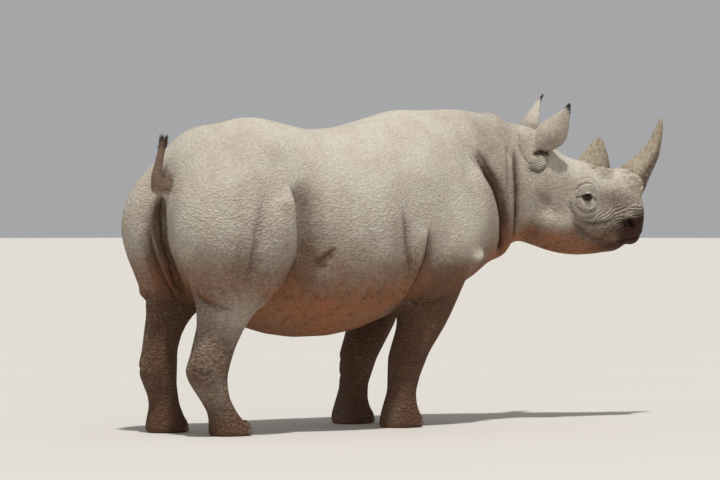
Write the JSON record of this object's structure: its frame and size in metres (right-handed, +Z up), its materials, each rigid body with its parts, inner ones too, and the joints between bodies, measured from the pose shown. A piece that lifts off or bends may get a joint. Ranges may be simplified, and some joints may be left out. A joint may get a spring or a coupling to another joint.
{
  "type": "black rhinoceros",
  "caption": "Life-size still model of a standing black rhinoceros with two horns, a short upright tail and its head turned a little to the right.",
  "frame": {"origin": "centre of the bounding box, on the floor the soles stand on", "axes": "+X towards the animal's front along its trunk, +Y towards its left, +Z up"},
  "size_m": [3.066, 0.9254, 1.7084],
  "materials": {
    "head_skin": "dry wrinkled hide with pale dust",
    "body_skin": "dry pebbled hide with pale dust",
    "leg_skin": "dry dark hide with less dust",
    "horn": "dull fibrous horn",
    "toenail": "dull worn horn",
    "eye": "wet and glossy"
  },
  "bodies": {
    "root": {"trunk": "body_skin", "neck": "body_skin", "head": "head_skin", "ear_left": "head_skin", "ear_right": "head_skin", "tail": "body_skin", "upper_fore_left": "body_skin", "lower_fore_left": "leg_skin", "foot_fore_left": "leg_skin", "toenail_fore_left_1": "toenail", "toenail_fore_left_2": "toenail", "toenail_fore_left_3": "toenail", "upper_fore_right": "body_skin", "lower_fore_right": "leg_skin", "foot_fore_right": "leg_skin", "toenail_fore_right_1": "toenail", "toenail_fore_right_2": "toenail", "toenail_fore_right_3": "toenail", "upper_hind_left": "body_skin", "lower_hind_left": "leg_skin", "foot_hind_left": "leg_skin", "toenail_hind_left_1": "toenail", "toenail_hind_left_2": "toenail", "toenail_hind_left_3": "toenail", "upper_hind_right": "body_skin", "lower_hind_right": "leg_skin", "foot_hind_right": "leg_skin", "toenail_hind_right_1": "toenail", "toenail_hind_right_2": "toenail", "toenail_hind_right_3": "toenail", "horn_front": "horn", "horn_rear": "horn", "eye_left": "eye", "eye_right": "eye"}
  },
  "joints": []
}
